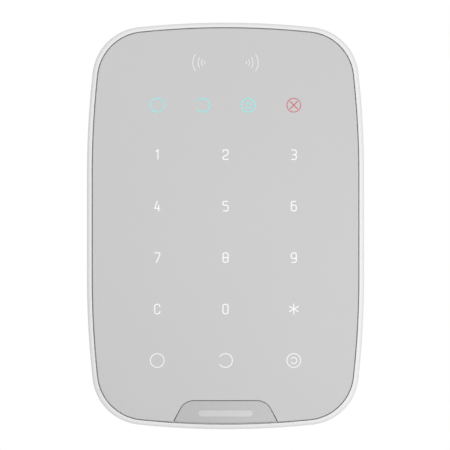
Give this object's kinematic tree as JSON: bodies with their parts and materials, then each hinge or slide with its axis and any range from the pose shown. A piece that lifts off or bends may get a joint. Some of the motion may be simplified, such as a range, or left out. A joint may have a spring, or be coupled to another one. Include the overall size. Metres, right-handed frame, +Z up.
{
  "type": "alarm keypad panel",
  "caption": "Slim wall-mounted alarm touch keypad with a tag reader: soft-cornered white housing, light grey panel with backlit legends, inner boards and cells, and a slide-on bracket.",
  "frame": {"origin": "centre of the outline on the wall plane, at the mounting plate's back face", "axes": "+Z up, +Y into the wall, +X to the right of a user facing the keypad; the keys face -Y"},
  "size_m": [0.1124, 0.02, 0.165],
  "materials": {
    "white_housing": "fine satin",
    "grey_panel": "fine satin",
    "badge_grey": "satin",
    "white_legend": "backlit",
    "teal_legend": "backlit",
    "red_legend": "backlit",
    "bond_tape": "matt",
    "diffuser_film": "translucent",
    "mask_black": "matt",
    "board_green": "solder mask",
    "copper_track": "bare",
    "ferrite_grey": "matt",
    "chip_black": "matt",
    "small_parts": "fired",
    "led_body": "clear",
    "holder_black": "textured",
    "spring_steel": "plain",
    "shield_tin": "drawn",
    "cell_jacket": "shrink sleeve",
    "lead_red": "insulation",
    "lead_black": "insulation",
    "connector_white": "moulded",
    "flat_cable": "flat film",
    "screw_steel": "zinc plated",
    "button_grey": "moulded",
    "label_silver": "blank sticker",
    "bracket_white": "fine textured"
  },
  "bodies": {
    "wall_bracket": {"mounting_plate": "bracket_white"},
    "keypad": {"front_housing": "white_housing", "touch_panel": "grey_panel", "badge_plate": "badge_grey", "panel_adhesive": "bond_tape", "key_legends": "white_legend", "status_legends": "teal_legend", "fault_legend": "red_legend", "reader_legends": "white_legend", "diffuser_sheet": "diffuser_film", "light_mask": "mask_black", "touch_board": "board_green", "touch_pads": "copper_track", "key_leds": "led_body", "status_leds": "led_body", "reader_coil": "copper_track", "ferrite_sheet": "ferrite_grey", "touch_controller": "chip_black", "touch_components": "small_parts", "battery_holder": "holder_black", "battery_springs": "spring_steel", "battery_plates": "spring_steel", "positive_lead": "lead_red", "negative_lead": "lead_black", "battery_socket": "connector_white", "main_board": "board_green", "radio_module": "shield_tin", "radio_antennas": "spring_steel", "controller_chip": "chip_black", "board_components": "small_parts", "buzzer": "chip_black", "ribbon_cable": "flat_cable", "ribbon_connectors": "connector_white", "tamper_switch": "chip_black", "power_switch": "chip_black", "rear_cover": "white_housing", "rating_label": "label_silver", "cover_screws": "screw_steel", "main_board_screws": "screw_steel", "battery_cell_1": "cell_jacket", "battery_cell_2": "cell_jacket", "battery_cell_3": "cell_jacket", "battery_cell_4": "cell_jacket"},
    "tamper_plunger": {"tamper_button": "button_grey", "tamper_spring": "spring_steel"},
    "power_key": {"power_button": "button_grey"},
    "battery_hatch": {"battery_cover": "white_housing", "battery_cover_screws": "screw_steel"},
    "lock_fastener": {"lock_screw": "screw_steel"}
  },
  "joints": [
    {"name": "keypad_slide", "type": "slide", "parent": "wall_bracket", "child": "keypad", "axis": [0, 0, 1], "range_m": [0, 0.0065]},
    {"name": "tamper_press", "type": "slide", "parent": "keypad", "child": "tamper_plunger", "axis": [0, -1, 0], "range_m": [0, 0.0008], "stiffness_N_per_m": 400, "springref_m": -0.0015, "deforming": ["tamper_spring"]},
    {"name": "power_press", "type": "slide", "parent": "keypad", "child": "power_key", "axis": [0, -1, 0], "range_m": [0, 0.0005], "stiffness_N_per_m": 1500, "springref_m": -0.0004},
    {"name": "lock_screw_withdraw", "type": "slide", "parent": "wall_bracket", "child": "lock_fastener", "axis": [0, 0, -1], "range_m": [0, 0.011]},
    {"name": "battery_cover_lift", "type": "slide", "parent": "keypad", "child": "battery_hatch", "axis": [0, 1, 0], "range_m": [0, 0.02]}
  ]
}
